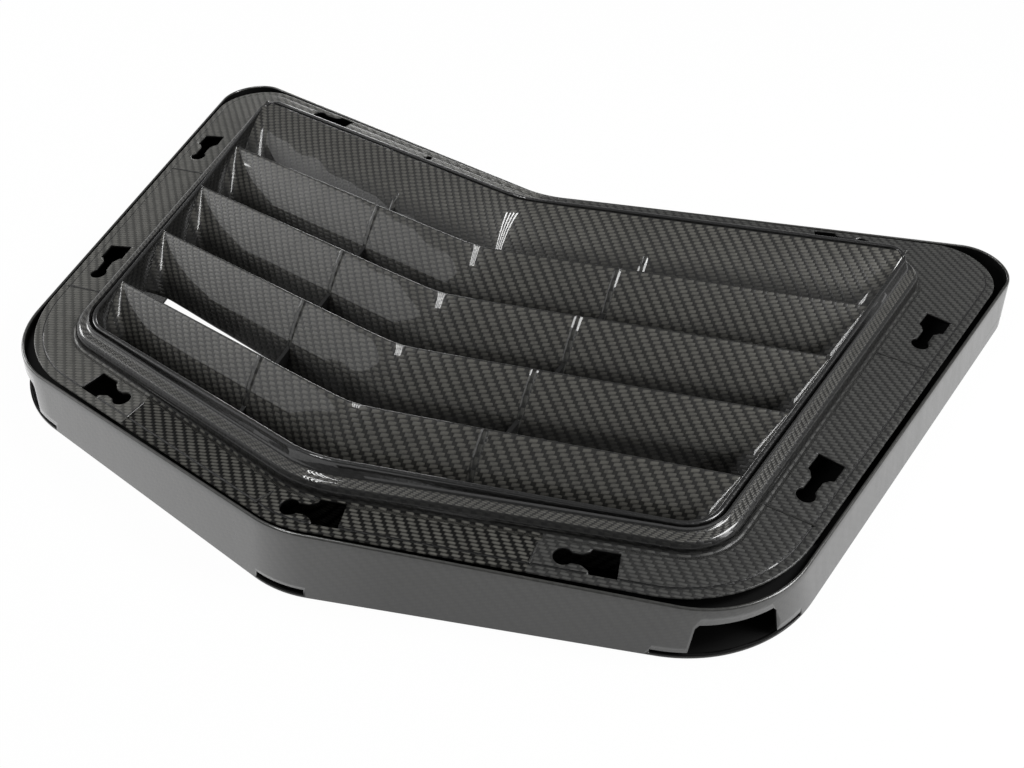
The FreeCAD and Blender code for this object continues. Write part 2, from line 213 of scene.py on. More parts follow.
def wall_foot(edge):
    """The outer wall's foot with its fillet on the flange, for a wall at a set offset."""
    fillet = turn(edge + 2.2, 2.2, 2.0, 188, 264, 5, "flange")
    return [(edge, "flange", 3.2), *fillet, (edge + 3.5, "flange", 0.0)]


RIM_OUTER, BACK_OUTER = 14.5, 3.0
INNER_WALL = [(0.0, "floor", 2.0), (0.0, "floor", 14.0), (0.0, "lip", -14.0), (0.0, "lip", -4.0)]
LIP = [*turn(1.0, -1.0, 1.0, 180, 90, 5, "lip"), *turn(2.0, -1.0, 1.0, 85, 10, 5, "lip")]
SHOULDER = [
    (3.4, "lip", -3.5),
    (4.9, "shoulder", 3.0),
    (5.3, "shoulder", 1.6),
    (6.0, "shoulder", 0.6),
    (7.0, "shoulder", 0.15),
    (8.4, "shoulder", 0.0),
    *turn(9.6, -4.6, 4.6, 84, 8, 9, "shoulder"),
]
RIM = INNER_WALL + LIP + SHOULDER + wall_foot(RIM_OUTER)
UNDER_RIM = [(13.0, "flange", -2.0), (12.4, "shoulder", -3.5), (3.0, "shoulder", -3.5), (3.0, "floor", 2.0)]
back_wall = [(BACK_OUTER, "back lip", -2.0 - drop) for drop in np.linspace(0, 12, len(SHOULDER))]
BACK = INNER_WALL + LIP + back_wall + wall_foot(BACK_OUTER)
BACK = [(offset, "back lip" if base == "lip" else base, lift) for offset, base, lift in BACK]
UNDER_BACK = [(3.0, "flange", -2.0), (3.0, "flange", -4.0), (3.0, "flange", -6.0), (3.0, "floor", 2.0)]
print("stations across the rim:", len(RIM) + len(UNDER_RIM))

# %% [markdown]
# ## The frame's shell
# Along the back the rim is a plain low wall, so a second section takes over there. Two shells could meet at the
# corners, but a gradual change from one section to the other leaves no joint. The flange closes the ring, with
# a border one ply lower and a fine groove beside it.

# %% Frame shell
LIP_LEAD = 45
FLANGE_GROWTH, BORDER, STEP_TOP, PLY, GROOVE = 0.5, 6.0, 0.1, 0.5, 0.25
FLANGE_EDGE = [
    (BORDER + 0.5, 0.0),
    (BORDER + 0.1, -STEP_TOP),
    (BORDER, -PLY),
    (BORDER - 0.4, -PLY - GROOVE),
    (BORDER - 0.9, -PLY),
    (1.0, -PLY),
    (0.4, -PLY - 0.1),
    (0.1, -PLY - 0.4),
    (0.0, -1.2),
    (0.2, -1.8),
    (0.8, -2.0),
]


def ease(share):
    """A smooth step from 0 to 1: 3 s^2 - 2 s^3."""
    share = np.clip(share, 0, 1)
    return share * share * (3 - 2 * share)


def back_share(lead):
    """1 along the back of an outline and 0 elsewhere, with the change in the last points of each side."""
    starts = np.cumsum([0, *(a + r for a, r in zip(ARC_POINTS, RUN_POINTS))])
    index = np.arange(starts[-1])
    rising = (index - starts[2] + lead) / (ARC_POINTS[2] - 1 + lead)
    falling = (starts[4] + ARC_POINTS[4] - 1 + lead - index) / (ARC_POINTS[4] - 1 + lead)
    return ease(np.minimum(rising, falling))[:, None]


def stations(section, back_section):
    """Grid columns for a section carried round the opening, with a second section along the back."""
    columns = []
    for side_station, back_station in zip(section, back_section):
        ends = []
        for offset, base, lift in (side_station, back_station):
            x, y = (opening_path + offset * MM * opening_normal).T
            ends.append(np.stack([x, y, ROOFS[base](x, y) + lift * MM], axis=1))
        share = back_share(LIP_LEAD if side_station[1] == "lip" else 0)
        columns.append(ends[0] + share * (ends[1] - ends[0]))
    return columns


def flange_column(inset, lift):
    """One grid column a set distance inside the flange's edge."""
    x, y = chevron(FLANGE, FLANGE_GROWTH - inset)[0].T
    return np.stack([x, y, ROOFS["flange"](x, y) + lift * MM], axis=1)


rim_columns = stations(RIM, BACK)
edge_columns = [flange_column(inset, lift) for inset, lift in FLANGE_EDGE]
inner, outer = rim_columns[-1], edge_columns[0]
flange_columns = [inner + share * (outer - inner) for share in np.linspace(0, 1, 8)[1:-1]]
under_columns = stations(UNDER_RIM, UNDER_BACK)
frame_grid = np.stack([*rim_columns, *flange_columns, *edge_columns, *under_columns], axis=1)
frame_cloth = ring_cloth(frame_grid)
band = len(INNER_WALL + LIP) + 1
frame_cloth[..., 1] -= frame_cloth[:, band : band + 1, 1].copy()
flat = slice(len(RIM) - 1, len(RIM) - 1 + len(flange_columns) + len(edge_columns))
frame_cloth[:, flat] = np.concatenate([frame_grid, frame_grid[:1]])[:, flat, :2]
louver_frame = shell("frame_shell", frame_grid, frame_cloth)
print("frame shell faces:", len(louver_frame.data.polygons))

# %% [markdown]
# ## Keyholes
# Studs enter the flange through wide slots and slide along a neck into a round seat. The grid could be bent to
# leave room for them, but a cut keeps the cloth straight beside each hole. A keyhole is a flat outline drawn
# once, turned to run along its edge of the flange, and taken away from the shell.

# %% Cut the keyholes
SEAT_RADIUS, NECK_HALF, SLOT_HALF, SLOT_LENGTH = 5.5, 3.5, 8.0, 15.5
REACH, FRONT_REACH = 25.5, 21.0
SIDE_INSET, FRONT_INSET, BACK_INSET = 17.5, 13.0, 9.5
CLIP_RADIUS, CLIP_AT = 3.0, 105.0
SIDE_LEVELS, LEVELS = (20, 60), (30, 60)
KEYHOLES = [
    ("side", 90.3, SIDE_INSET, 0),
    ("side", -68.7, SIDE_INSET, 0),
    ("front", 141.0, FRONT_INSET, 0),
    ("back", 226.0, BACK_INSET, 180),
]


def keyhole_outline(reach):
    """The keyhole about its seat, with the slot along +X, in millimetres."""
    mouth = math.asin(NECK_HALF / SEAT_RADIUS)
    angles = np.linspace(mouth, 2 * math.pi - mouth, 23)
    seat = SEAT_RADIUS * np.stack([np.cos(angles), np.sin(angles)], axis=1)
    near, far = reach - SLOT_LENGTH / 2, reach + SLOT_LENGTH / 2
    slot = [(near - 4, -NECK_HALF), (near, -SLOT_HALF + 2), (near + 1, -SLOT_HALF), (far, -SLOT_HALF)]
    slot = np.array(slot)
    return np.concatenate([seat, slot, slot[::-1] * (1, -1)])


def round_outline(radius):
    """A circle about the origin, in millimetres."""
    angles = np.linspace(0, 2 * math.pi, 25)[:-1]
    return radius * np.stack([np.cos(angles), np.sin(angles)], axis=1)


def cutter(outline, place, levels, mirror=1):
    """An upright prism between two levels, with the outline moved to x, y and a heading in degrees."""
    x, y, heading = place
    cos, sin = math.cos(math.radians(heading)), math.sin(math.radians(heading))
    plan = outline @ np.array([[cos, sin], [-sin, cos]]) + (x, y)
    plan[:, 0] *= mirror
    return prism("cutter", np.array([np.column_stack([plan, np.full(len(plan), z)]) for z in levels]) * MM)


def cut(piece, tools):
    """Takes the tools away from the piece and keeps its cloth coordinates."""
    for tool in tools:
        tool.data.update()
        change = piece.modifiers.new("cut", "BOOLEAN")
        change.object = tool
        change.solver = "EXACT"
    bpy.context.view_layer.update()
    done = bpy.data.meshes.new_from_object(piece.evaluated_get(bpy.context.evaluated_depsgraph_get()))
    piece.modifiers.clear()
    piece.data = done
    for tool in tools:
        bpy.data.objects.remove(tool)


def edge_place(edge, at, inset, turned=0):
    """A point a set distance inside one edge of the flange, and the heading along that edge in degrees."""
    start, slope = FLANGE[edge]
    shift = inset * math.hypot(1, slope)
    if edge == "side":
        return start + slope * at - shift, at, 90 - math.degrees(math.atan(slope)) + turned
    sign = 1 if edge == "front" else -1
    return at, start + slope * at + sign * shift, math.degrees(math.atan(slope)) + turned


tools = []
for edge, at, inset, turned in KEYHOLES:
    outline = keyhole_outline(FRONT_REACH if edge == "front" else REACH)
    place = edge_place(edge, at, inset, turned)
    tools += [cutter(outline, place, SIDE_LEVELS, mirror) for mirror in (1, -1)]
tools.append(cutter(keyhole_outline(FRONT_REACH), edge_place("front", 0.0, FRONT_INSET), LEVELS))
clip_place = (*edge_place("back", CLIP_AT, BACK_INSET)[:2], 0)
tools += [cutter(round_outline(CLIP_RADIUS), clip_place, LEVELS, mirror) for mirror in (1, -1)]
cut(louver_frame, tools)
print("frame faces after the keyholes:", len(louver_frame.data.polygons))

# %% [markdown]
# ## Blades
# A blade is a curved section, gentle at its top edge and steep at its foot, carried along the sweep of the
# chevron. A swept curve with a bevel could give it, but its ends have to follow the tapered box wall, with a
# fillet there. So the points are worked out one by one. The cloth runs on unbroken over the bend at the centre,
# as it does on the real part.

# %% Blade shells
BLADE_WALL, SET_DOWN = 2.0, 1.0
BLADE_ROWS, FACE_POINTS, END_CROWDING = 241, 25, 1.25
TOP_FILLET, END_FILLET, WAVE = 2.0, 20.0, 0.05 * MM
WAVES = ((43, 20, 0.4), (57, 75, 1.9), (71, 130, 3.1), (36, 160, 5.0))
FIRST_BACK, BLADE_STEP, SWEEPS = 26.7, 53.1, (0.289, 0.257)
FEET = ((0.11, 0.11), (0.07, 0.11), (0.01, 0.19), (0.0, 0.1))
BACK_BLADE = {"back": 95.0, "sweep": 0.2525, "run": 45.0, "slopes": (15, 45), "roof": "back lip"}
BLADE = {"run": 27.0, "slopes": (33, 60), "roof": "lip", "seam": (-0.1, 0.1)}
SHAPES = [{**BACK_BLADE, "foot": (0.0, 0.0), "seam": (0.5, 0.25)}]
for step, sweep in enumerate(np.linspace(*SWEEPS, len(FEET))):
    SHAPES.append({**BLADE, "back": FIRST_BACK - BLADE_STEP * step, "sweep": sweep, "foot": FEET[step]})


def blade_section(shape):
    """Section about the top edge as (y, z), outward normals and the share of the way from top to foot."""
    top, foot = np.radians(shape["slopes"])
    bend = shape["run"] / (math.sin(foot) - math.sin(top))
    half = BLADE_WALL / 2
    face = np.linspace(top, foot, FACE_POINTS)
    round_edge = np.linspace(0, math.pi, 7)[1:-1]
    bulge = half * np.sin(round_edge) / bend
    angle = np.concatenate([face, foot + bulge, face[::-1], top - bulge])
    flat = np.ones(FACE_POINTS)
    radius = bend - half + half * np.concatenate([flat, np.cos(round_edge), -flat, -np.cos(round_edge)])
    centre = bend * np.array([math.sin(top), -math.cos(top)])
    normal = np.stack([-np.sin(angle), np.cos(angle)], axis=1)
    return (centre + radius[:, None] * normal) * MM, normal, np.clip((angle - top) / (foot - top), 0, 1)


def waves(x, y):
    """Slow unevenness of the poured coat: crossing sine waves, each with a length in mm and a heading."""
    total = 0.0
    for length, heading, start in WAVES:
        along = math.cos(math.radians(heading)) * x + math.sin(math.radians(heading)) * y
        total = total + np.sin(along * 2 * math.pi / (length * MM) + start)
    return WAVE * total


def blade_grid(shape, across):
    """Section points at set shares of the way across, from the left box wall at -1 to the right one at 1."""
    section, normal, share = blade_section(shape)
    top_y, sweep = shape["back"] * MM, shape["sweep"]
    side, taper = OPENING["side"][0] * MM, OPENING["side"][1]
    ends = (side + taper * (top_y + section[:, 0])) / (1 - taper * sweep)
    x = across[:, None] * ends[None, :]
    top_line = top_y + sweep * off_centre(x)
    top_z = ROOFS[shape["roof"]](x, top_line) - SET_DOWN * MM
    fillet = (TOP_FILLET + END_FILLET * share) * MM
    inside = np.maximum(fillet - (ends - np.abs(x)), 0)
    lift = inside**2 / (2 * fillet) + waves(x, top_line + section[:, 0])
    at_end, at_middle = shape["foot"]
    reach = 1 + at_end + (at_middle - at_end) * (1 - np.abs(across))[:, None]
    y = top_line + section[:, 0] * reach + lift * normal[:, 0]
    return np.stack([x, y, top_z + section[:, 1] * reach + lift * normal[:, 1]], axis=-1)


spread = np.linspace(-1, 1, BLADE_ROWS)
spread = np.sign(spread) * (1 - (1 - np.abs(spread)) ** END_CROWDING)
middle_row = BLADE_ROWS // 2
blades = []
for number, shape in enumerate(SHAPES, start=1):
    grid = blade_grid(shape, spread)
    along = lengths(grid, 0, False)
    along = along - along[middle_row]
    along = np.concatenate([along, along[:, :1]], axis=1)
    across = np.repeat(lengths(grid[middle_row : middle_row + 1], 1, True), BLADE_ROWS, axis=0)
    cloth = np.stack([along, -across], axis=-1)
    blades.append(shell(f"blade_{number}", grid, cloth, closed=(False, True), caps=True))
print("blades:", [blade.name for blade in blades])

# %% [markdown]
# ## Seams over the ribs
# Where a rib stands under the blades, the cloth is laid over it in a low ridge with flat flanks. A bump in the
# material could suggest it, but it has to catch the light along its flanks. So it is a thin bead that follows
# the face of each blade, with its edges buried.

# %% Rib seams
RIB_AT, RIB_TAPER = 87.0, 0.098
SEAM_WIDTH, SEAM_HEIGHT, SEAM_TOP, SEAM_BURIED, SEAM_POINTS = 5.4, 1.0, 0.375, 0.3, 17


def seam_grid(shape, side):
    """A ridge along the blade's face: flat on top, straight down both flanks and buried at its edges."""
    section, normal, way = (values[:FACE_POINTS] for values in blade_section(shape))
    share = np.linspace(-1, 1, SEAM_POINTS)
    strength = ease((way - shape["seam"][0]) / shape["seam"][1])[:, None]
    top_y = shape["back"] * MM
    x = (RIB_AT * MM + RIB_TAPER * top_y + share * SEAM_WIDTH * MM / 2) * side
    x = np.repeat(x[None, :], FACE_POINTS, axis=0)
    top_line = top_y + shape["sweep"] * off_centre(x)
    ridge = np.clip((1 - np.abs(share)) / (1 - SEAM_TOP), 0, 1)[None, :]
    lift = ((SEAM_HEIGHT + SEAM_BURIED) * ridge * strength - SEAM_BURIED) * MM
    y = top_line + section[:, :1] + lift * normal[:, :1]
    z = ROOFS[shape["roof"]](x, top_line) - SET_DOWN * MM + section[:, 1:] + lift * normal[:, 1:]
    return np.stack([x, y, z], axis=-1)


def bead(name, grid):
    """A mesh from a bead's grid, closed below and at its ends."""
    along = lengths(grid, 0, False)
    along = np.concatenate([along, along[:, :1]], axis=1)
    cloth = np.stack([along, lengths(grid, 1, True)], axis=-1)
    return shell(name, grid, cloth, closed=(False, True), caps=True)


seams = []
for number, shape in enumerate(SHAPES, start=1):
    for side, word in ((1, "right"), (-1, "left")):
        seams.append(bead(f"blade_{number}_seam_{word}", seam_grid(shape, side)))
print("seams:", len(seams))

# %% [markdown]
# ## Seams on the flange
# The flange's cloth is laid in strips that overlap near the keyholes. Each overlap shows as a fine straight
# ridge from the foot of the rim to the border. The frame's grid is too coarse for it, so it is a bead too.

# %% Flange seams
FRONT_SEAM = ((-14.0, -193.4), (-19.2, -204.0))
PLY_SEAMS = (
    ((258.0, 68.6), (287.0, 67.0)),
    ((224.5, -85.6), (253.0, -87.8)),
    ((126.1, -163.5), (127.3, -177.5)),
)
PLY_WIDTH, PLY_RISE, PLY_BURIED = 1.6, 0.55, 0.2
PLY_ROWS, PLY_POINTS = 24, 9


def ply_seam(ends, mirror):
    """A half-round ridge between two places on the flange's roof."""
    start, stop = (np.array(end) * (mirror, 1) * MM for end in ends)
    way = (stop - start) / np.hypot(*(stop - start))
    angles = np.radians(np.linspace(0, 180, PLY_POINTS))
    sideways = np.cos(angles)[None, :, None] * PLY_WIDTH * MM / 2 * np.array([-way[1], way[0]])
    plan = start + np.linspace(0, 1, PLY_ROWS)[:, None, None] * (stop - start) + sideways
    x, y = plan[..., 0], plan[..., 1]
    rise = (PLY_RISE + PLY_BURIED) * np.sin(angles)[None, :] - PLY_BURIED
    return np.stack([x, y, ROOFS["flange"](x, y) + rise * MM], axis=-1)


seam_places = [(FRONT_SEAM, 1)] + [(ends, mirror) for ends in PLY_SEAMS for mirror in (1, -1)]
ply_seams = []
for number, (ends, mirror) in enumerate(seam_places, start=1):
    ply_seams.append(bead(f"flange_seam_{number}", ply_seam(ends, mirror)))
print("flange seams:", len(ply_seams))

# %% [markdown]
# ## The tray
# The tray's skirt leans out towards its foot, its top edge follows the flange, and its floor turns in below as
# a gutter. A tapered extrusion would keep its corners' radii, but these tighten from foot to rim. So each
# column has an outline of its own.

# %% Tray shell
TRAY_GAP, TRAY_WALL, TRAY_FLOOR, RIM_DROP = 0.7, 2.0, 2.0, 1.5
FOOT_OFFSET = 10.66
DRAFT = (FOOT_OFFSET - TRAY_GAP - TRAY_WALL) / FLANGE_HEIGHT
FOOT_RADII, RIM_RADII = np.array([89.0, 40.9]), np.array([68.0, 22.0])


def skirt_outline(inset, level):
    """The skirt's outline at one level, with corners that tighten from foot to rim."""
    radii = FOOT_RADII + (RIM_RADII - FOOT_RADII) * level / FLANGE_HEIGHT - inset
    return chevron(FLANGE, FOOT_OFFSET - inset - DRAFT * level, tuple(radii))[0]


def skirt_column(inset, rise, top=True):
    """A column on the leaning skirt: rise is from the top edge, or from the foot where top is False."""
    low, high = (skirt_outline(inset, level) for level in (0, TALL))
    level = np.full(len(low), rise * MM)
    if top:
        level = ROOFS["flange"](low[:, 0], low[:, 1]) + (rise - RIM_DROP) * MM
    plan = low + (high - low) * (level / (TALL * MM))[:, None]
    return np.column_stack([plan, level])


def floor_column(height):
    """A column where the gutter's floor meets the opening."""
    return np.column_stack([opening_path, np.full(len(opening_path), height * MM)])


half = TRAY_WALL / 2
lip_turn = np.radians(np.linspace(0, 180, 7))
tray_columns = [skirt_column(inset, rise, top=False) for inset, rise in ((0.4, 0.0), (0.0, 0.5), (0.0, 8.0))]
tray_columns += [skirt_column(0.0, drop) for drop in (-22.0, -12.0, -5.0)]
tray_columns += [skirt_column(half - half * math.cos(a), half * math.sin(a) - half) for a in lip_turn]
tray_columns += [skirt_column(TRAY_WALL, -6.0), skirt_column(TRAY_WALL, TRAY_FLOOR, top=False)]
tray_columns += [floor_column(TRAY_FLOOR), floor_column(0.0)]
tray_grid = np.stack(tray_columns, axis=1)
tray = shell("tray_shell", tray_grid, ring_cloth(tray_grid))
print("tray faces:", len(tray.data.polygons))

# %% [markdown]
# ## Drains
# Windows at the front corners and a notch under the point let the water out. They are cut as the keyholes are.
# Behind each window a flat hood keeps the light out of the tray.

# %% Drain windows
WINDOW = np.array([(42, 0), (42, 2.5), (25, 2.5), (24.6, 4.5), (22, 19.5), (20, 22)])
WINDOW = np.concatenate([WINDOW, WINDOW[::-1] * (-1, 1)])
WINDOW_DEPTH, WINDOW_SHIFT, CLEAR = 42.0, 7.0, 0.05
NOTCH_HALF, NOTCH_HEIGHT = 15, 4
HOOD_LEVEL, HOOD_WALL, HOOD_RUN, HOOD_OVERLAP = 25.0, 1.5, 8, 0.5
front, front_sweep = FLANGE["front"]
side, taper = FLANGE["side"]
corner_y = (front + front_sweep * side) / (1 - front_sweep * taper)
corner_heading = (math.atan(front_sweep) + math.pi / 2 - math.atan(taper)) / 2


def window_cutter(mirror):
    """The window's outline stands along the corner's edge and runs inward through the skirt."""
    edge = np.array([math.cos(corner_heading), math.sin(corner_heading)])
    inward = np.array([-edge[1], edge[0]])
    start = np.array([side + taper * corner_y, corner_y])
    rings = []
    for depth in (-WINDOW_DEPTH / 2, WINDOW_DEPTH):
        plan = start + (WINDOW[:, :1] - WINDOW_SHIFT) * edge + depth * inward
        rings.append(np.column_stack([plan[:, 0] * mirror, plan[:, 1], WINDOW[:, 1] + TRAY_FLOOR + CLEAR]))
    return prism("cutter", np.array(rings) * MM)


def drain_hood(mirror):
    """A flat roof over the drain window: the segment between the skirt's corner and its chord."""
    first = ARC_POINTS[0] + RUN_POINTS[0] - HOOD_RUN
    plan = skirt_outline(TRAY_WALL - HOOD_OVERLAP, HOOD_LEVEL)[first : first + ARC_POINTS[1] + 2 * HOOD_RUN]
    plan = plan * (mirror, 1)
    levels = (HOOD_LEVEL, HOOD_LEVEL + HOOD_WALL)
    rings = [np.column_stack([plan, np.full(len(plan), level * MM)]) for level in levels]
    return prism(f"drain_hood_{mirror}", np.array(rings))


notch = [(-1, -2 * FOOT_OFFSET), (1, -2 * FOOT_OFFSET), (1, 0), (-1, 0)]
notch = np.array(notch) * (NOTCH_HALF, 1)
tools = [window_cutter(mirror) for mirror in (1, -1)]
tools.append(cutter(notch, (0, front, 0), (TRAY_FLOOR + CLEAR, TRAY_FLOOR + NOTCH_HEIGHT)))
cut(tray, tools)
hoods = [drain_hood(mirror) for mirror in (1, -1)]
print("tray faces after the drains:", len(tray.data.polygons))

# %% [markdown]
# ## Shader arithmetic
# Weave and wear are sums and products of coordinates. Their nodes could be added and linked one by one. A small
# class wraps a socket instead, so that a formula in Python adds the Math nodes it needs.

# %% Finish helper
class Value:
    """A number in a material that takes Python arithmetic."""

    def __init__(self, finish, socket):
        self.finish = finish
        self.socket = socket

    def math(self, operation, *others):
        """A Math node with this value first."""
        made = self.finish.node("ShaderNodeMath", {"operation": operation}, dict(enumerate((self, *others))))
        return Value(self.finish, made.outputs[0])

    def reflected(self, operation, other):
        """A Math node with this value second."""
        made = self.finish.node("ShaderNodeMath", {"operation": operation}, {0: other, 1: self})
        return Value(self.finish, made.outputs[0])

    def __add__(self, other):
        return self.math("ADD", other)

    def __sub__(self, other):
        return self.math("SUBTRACT", other)

    def __mul__(self, other):
        return self.math("MULTIPLY", other)

    def __truediv__(self, other):
        return self.math("DIVIDE", other)

    def __mod__(self, other):
        return self.math("FLOORED_MODULO", other)

    def __pow__(self, other):
        return self.math("POWER", other)

    def __gt__(self, other):
        return self.math("GREATER_THAN", other)

    def __rsub__(self, other):
        return self.reflected("SUBTRACT", other)

    __radd__ = __add__
    __rmul__ = __mul__

    def floor(self):
        return self.math("FLOOR")

    def clamped(self):
        """The value held between 0 and 1."""
        return self.math("MAXIMUM", 0.0).math("MINIMUM", 1.0)

    def mix(self, low, high):
        """low where the value is 0 and high where it is 1."""
        return low + (high - low) * self


class Finish:
    """One material with its nodes."""

    def __init__(self, name):
        self.material = bpy.data.materials.new(name)
        self.material.use_nodes = True
        self.tree = self.material.node_tree
        self.shader = self.tree.nodes["Principled BSDF"]

    def node(self, kind, settings=None, inputs=None):
        """Any node, with its settings and what goes into its sockets."""
        made = self.tree.nodes.new(kind)
        for key, setting in (settings or {}).items():
            setattr(made, key, setting)
        for key, given in (inputs or {}).items():
            self.feed(made.inputs[key], given)
        return made

    def feed(self, socket, given):
        """Links a value or a socket, or sets a constant."""
        if isinstance(given, Value):
            self.tree.links.new(given.socket, socket)
        elif isinstance(given, bpy.types.NodeSocket):
            self.tree.links.new(given, socket)
        else:
            socket.default_value = given

    def parts(self, vector):
        """The three numbers of a vector."""
        split = self.node("ShaderNodeSeparateXYZ", None, {0: vector})
        return [Value(self, socket) for socket in split.outputs]

    def cloth(self):
        """The two cloth coordinates in metres."""
        return self.parts(self.node("ShaderNodeUVMap", {"uv_map": "Cloth"}).outputs[0])[:2]

    def place(self):
        """The object's own coordinates in metres."""
        return self.node("ShaderNodeTexCoord").outputs["Object"]

    def noise(self, scale, detail=2.0, roughness=0.5, stretch=(1, 1, 1)):
        """Soft noise between 0 and 1, with scale in lumps per metre."""
        spread = self.node("ShaderNodeMapping", None, {"Vector": self.place(), "Scale": stretch})
        inputs = {"Vector": spread.outputs[0], "Scale": scale, "Detail": detail, "Roughness": roughness}
        return Value(self, self.node("ShaderNodeTexNoise", None, inputs).outputs[0])

    def blend(self, share, low, high):
        """A colour between two colours."""
        return self.node("ShaderNodeMix", {"data_type": "RGBA"}, {0: share, 6: low, 7: high}).outputs[2]

    def scaled(self, colour, amount):
        """A colour times a number."""
        inputs = {0: colour, "Scale": amount}
        return self.node("ShaderNodeVectorMath", {"operation": "SCALE"}, inputs).outputs[0]

    def bump(self, height, distance):
        """A normal from a height, with the full height given as a distance."""
        inputs = {"Height": height, "Distance": distance, "Strength": 1.0}
        return self.node("ShaderNodeBump", None, inputs).outputs[0]

    def set(self, **sockets):
        """Feeds the shader's sockets and returns the material."""
        for name, given in sockets.items():
            self.feed(self.shader.inputs[name.replace("_", " ")], given)
        return self.material


# %% [markdown]
# ## Twill
# In a two-by-two twill each tow passes over two and under two, one step further along in each row, which draws
# the diagonals. Wave textures could draw the diagonals too, but not the single tows. Here whole numbers of tows
# pick the cell and the remainder gives the rounded tow within it. The light is painted into the colour: the
# crosswise tows are painted lighter than the lengthwise ones as a painted reflection, and each tow carries the
# painted shade and highlight of its rounding.

# %% Twill
REPEAT, DARK_SPAN = 4, 1.55
STRANDS, TONES, PATCHES = 900, 220, 16


def twill(finish, light, dark, pitch, under=0.12, sharp=1.4):
    """Colour and height of a two-by-two twill on the cloth coordinates, with a tow's pitch in metres."""
    u, v = finish.cloth()
    u, v = u / pitch[0], v / pitch[1]
    row = v.floor()
    along = v - row
    phase = (u + row) % REPEAT
    over = phase > DARK_SPAN
    light_way = (phase - DARK_SPAN) / (REPEAT - DARK_SPAN)
    dark_way = phase / DARK_SPAN
    # Painted highlight: the bright part of each crosswise tow leans across it, as a reflection on its rounding.
    lean = 2 * along - 1 - 0.9 * (light_way - 0.5)
    weft = (1 - 0.45 * lean * lean) * (1 - 0.35 * (2 * light_way - 1) ** 4)
    warp = 1 - 0.7 * (2 * dark_way - 1) ** 2
    height = over.mix(warp * 0.7, weft)
    strand, tone, patch = finish.noise(STRANDS, 2.0, 0.6), finish.noise(TONES), finish.noise(PATCHES)
    # Painted reflection and shade: crosswise tows lighter than lengthwise ones and each tow shaded across its
    # rounding; the noises add random tone.
    shade = over.mix(under * (0.2 + 0.8 * warp), 0.1 + 0.9 * weft**sharp)
    shade = shade * (0.6 + 0.8 * strand) * (0.5 + tone) * (0.8 + 0.4 * patch)
    return finish.blend(shade, dark, light), height


# %% [markdown]
# ## Finishes
# Blades and rim have a polished clear coat, the flange a thin satin one and the tray a smooth dark skin. One
# finish with many switches could serve them all. Three short functions are easier to read. The blades are
# painted darker towards their feet, as painted shade where each one stands behind the next, and the tray is
# darker towards its foot and duller on its right.

# %% Finishes
BLADE_PITCH, FLANGE_PITCH = (1.85 * MM, 2.45 * MM), (1.85 * MM, 2.0 * MM)
SHOULDER_PITCH = (1.1 * MM, 1.1 * MM)
LIGHT_TOW, DARK_TOW = (0.091, 0.0885, 0.0785, 1), (0.005, 0.005, 0.005, 1)
# Painted shade at the blades' feet: the colour darkens over the last part of each face, down to this share.
BACK_BLADE_FOOT, BLADE_FOOT = 44.0, 37.0
FOOT_FADE, PAINTED_FOOT_SHADE = 0.66, 0.18
SMUDGES, SCRATCHES, THREADS = 55, 140, 700
WORN_RUN, WORN_COAT = 60.0, 0.45


def gloss_twill(name, light=LIGHT_TOW, pitch=BLADE_PITCH, foot=None, coat=1.0):
    """Twill under a polished clear coat, painted darker towards a foot a set distance below a blade's top, as
    painted shade.
    """
    finish = Finish(name)
    colour, height = twill(finish, light, DARK_TOW, pitch)
    if foot:
        # Painted shade: darker towards the foot, where the next blade stands in front and shades it.
        down = finish.cloth()[1] * -1.0 / (foot * MM)
        share = ((down - FOOT_FADE) / (1 - FOOT_FADE)).clamped()
        colour = finish.scaled(colour, share.mix(1.0, PAINTED_FOOT_SHADE))
    return finish.set(
        Base_Color=colour,
        Roughness=0.4,
        Normal=finish.bump(height, 0.25 * MM),
        Coat_Weight=coat,
        Coat_Roughness=0.025,
        Specular_IOR_Level=0.3,
    )


def satin_twill(name, light, dark, under, sharp, coat=0.2):
    """Twill under a thin satin coat, with the marks of handling."""
    finish = Finish(name)
    colour, height = twill(finish, light, dark, FLANGE_PITCH, under, sharp)
    return finish.set(
        Base_Color=colour,
        Roughness=0.34 + 0.2 * finish.noise(SMUDGES, 4.0, 0.6),
        Normal=finish.bump(height, 0.3 * MM),
        Coat_Weight=coat,
        Coat_Roughness=0.2,
        Specular_IOR_Level=coat,
    )


def painted_shade_black(name):
    """Near-black and dull inside the tray: painted shade, where the inside lies out of the light."""
    return Finish(name).set(Base_Color=(0.004, 0.004, 0.004, 1), Roughness=0.6, Specular_IOR_Level=0.15)


def tray_laminate():
    """Smooth dark laminate with a faint weave and scratches, darker towards its foot and duller on its right."""
    finish = Finish("tray_laminate")
    colour, height = twill(finish, (0.042, 0.042, 0.039, 1), (0.03, 0.03, 0.028, 1), FLANGE_PITCH)
    scratch = finish.noise(SCRATCHES, 5.0, 0.7, (1, 1, 0.15))
    thread = finish.noise(THREADS, 2.0, 0.6, (1, 1, 0.25))
    x, _, z = finish.parts(finish.place())
    # The colour darkens towards the foot: half as light at the foot as at the top.
    foot_darkening = 0.5 + 0.5 * z / (FLANGE_HEIGHT * MM)
    worn = (x / (WORN_RUN * MM)).clamped()
    return finish.set(
        Base_Color=finish.scaled(colour, (0.7 + 0.6 * thread) * foot_darkening),
        Roughness=0.22 + 0.18 * scratch,
        Normal=finish.bump(height, 0.03 * MM),
        Coat_Weight=worn.mix(1.0, WORN_COAT),
        Coat_Roughness=0.08,
        Specular_IOR_Level=0.6,
    )


